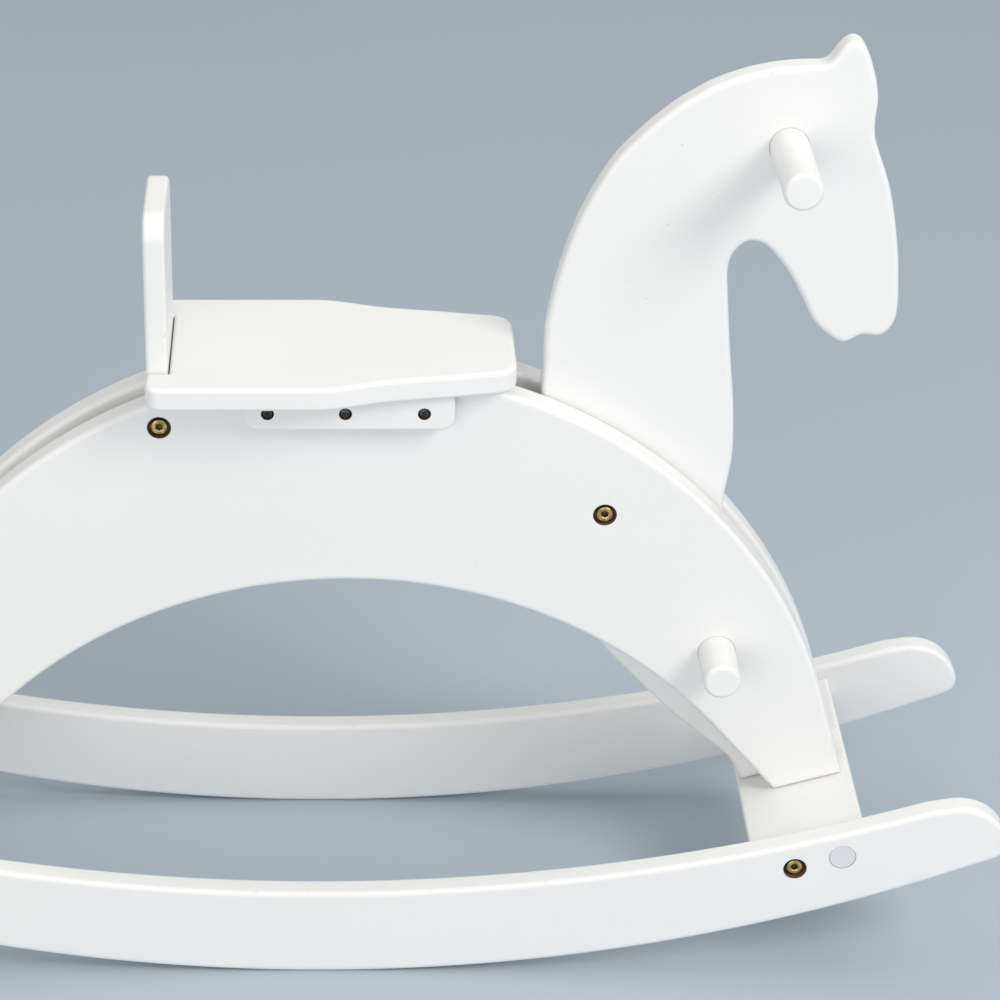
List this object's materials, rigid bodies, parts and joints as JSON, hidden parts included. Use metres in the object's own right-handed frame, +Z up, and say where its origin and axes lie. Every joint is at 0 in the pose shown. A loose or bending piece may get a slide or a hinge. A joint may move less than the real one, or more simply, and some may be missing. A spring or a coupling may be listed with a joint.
{
  "type": "rocking horse",
  "caption": "Painted board rocking horse: arched body panels clamp the head board, seat with a low backrest, round handle and footrest, on curved rockers joined by cross boards.",
  "frame": {"origin": "on the floor under the middle of the rockers, in the middle plane of the horse", "axes": "+Z up, +X towards the horse's head, +Y to the rider's left"},
  "size_m": [0.8108, 0.199, 0.5572],
  "materials": {
    "white_paint": "satin white paint over board, edges softly rounded",
    "brass_bolt": "yellow-plated hex-socket bolt, slightly dulled",
    "zinc_steel": "zinc-plated",
    "dark_screw": "dark oxide, dull",
    "cap_plastic": "pale grey, slightly glossy"
  },
  "bodies": {
    "root": {"backrest_board": "white_paint", "body_panel_left": "white_paint", "body_panel_right": "white_paint", "bolt_backrest": "brass_bolt", "bolt_front_left_inner": "brass_bolt", "bolt_front_left_outer": "brass_bolt", "bolt_front_right_inner": "brass_bolt", "bolt_front_right_outer": "brass_bolt", "bolt_neck": "brass_bolt", "bolt_rear_left_inner": "brass_bolt", "bolt_rear_left_outer": "brass_bolt", "bolt_rear_right_inner": "brass_bolt", "bolt_rear_right_outer": "brass_bolt", "cleat_screw_left_1": "dark_screw", "cleat_screw_left_2": "dark_screw", "cleat_screw_left_3": "dark_screw", "cleat_screw_right_1": "dark_screw", "cleat_screw_right_2": "dark_screw", "cleat_screw_right_3": "dark_screw", "cover_cap_front_left": "cap_plastic", "cover_cap_front_right": "cap_plastic", "cover_cap_rear_left": "cap_plastic", "cover_cap_rear_right": "cap_plastic", "crossboard_front": "white_paint", "crossboard_rear": "white_paint", "foot_screw_front_left_1": "zinc_steel", "foot_screw_front_left_2": "zinc_steel", "foot_screw_front_right_1": "zinc_steel", "foot_screw_front_right_2": "zinc_steel", "foot_screw_rear_left_1": "zinc_steel", "foot_screw_rear_left_2": "zinc_steel", "foot_screw_rear_right_1": "zinc_steel", "foot_screw_rear_right_2": "zinc_steel", "footrest_dowel": "white_paint", "handle_dowel": "white_paint", "head_board": "white_paint", "nut_front_left_inner": "zinc_steel", "nut_front_left_outer": "zinc_steel", "nut_front_right_inner": "zinc_steel", "nut_front_right_outer": "zinc_steel", "nut_rear_left_inner": "zinc_steel", "nut_rear_left_outer": "zinc_steel", "nut_rear_right_inner": "zinc_steel", "nut_rear_right_outer": "zinc_steel", "rocker_left": "white_paint", "rocker_right": "white_paint", "seat_board": "white_paint", "seat_cleat_left": "white_paint", "seat_cleat_right": "white_paint", "seat_screw_left_1": "zinc_steel", "seat_screw_left_2": "zinc_steel", "seat_screw_right_1": "zinc_steel", "seat_screw_right_2": "zinc_steel", "sleeve_nut_backrest": "brass_bolt", "sleeve_nut_neck": "brass_bolt"}
  },
  "joints": []
}
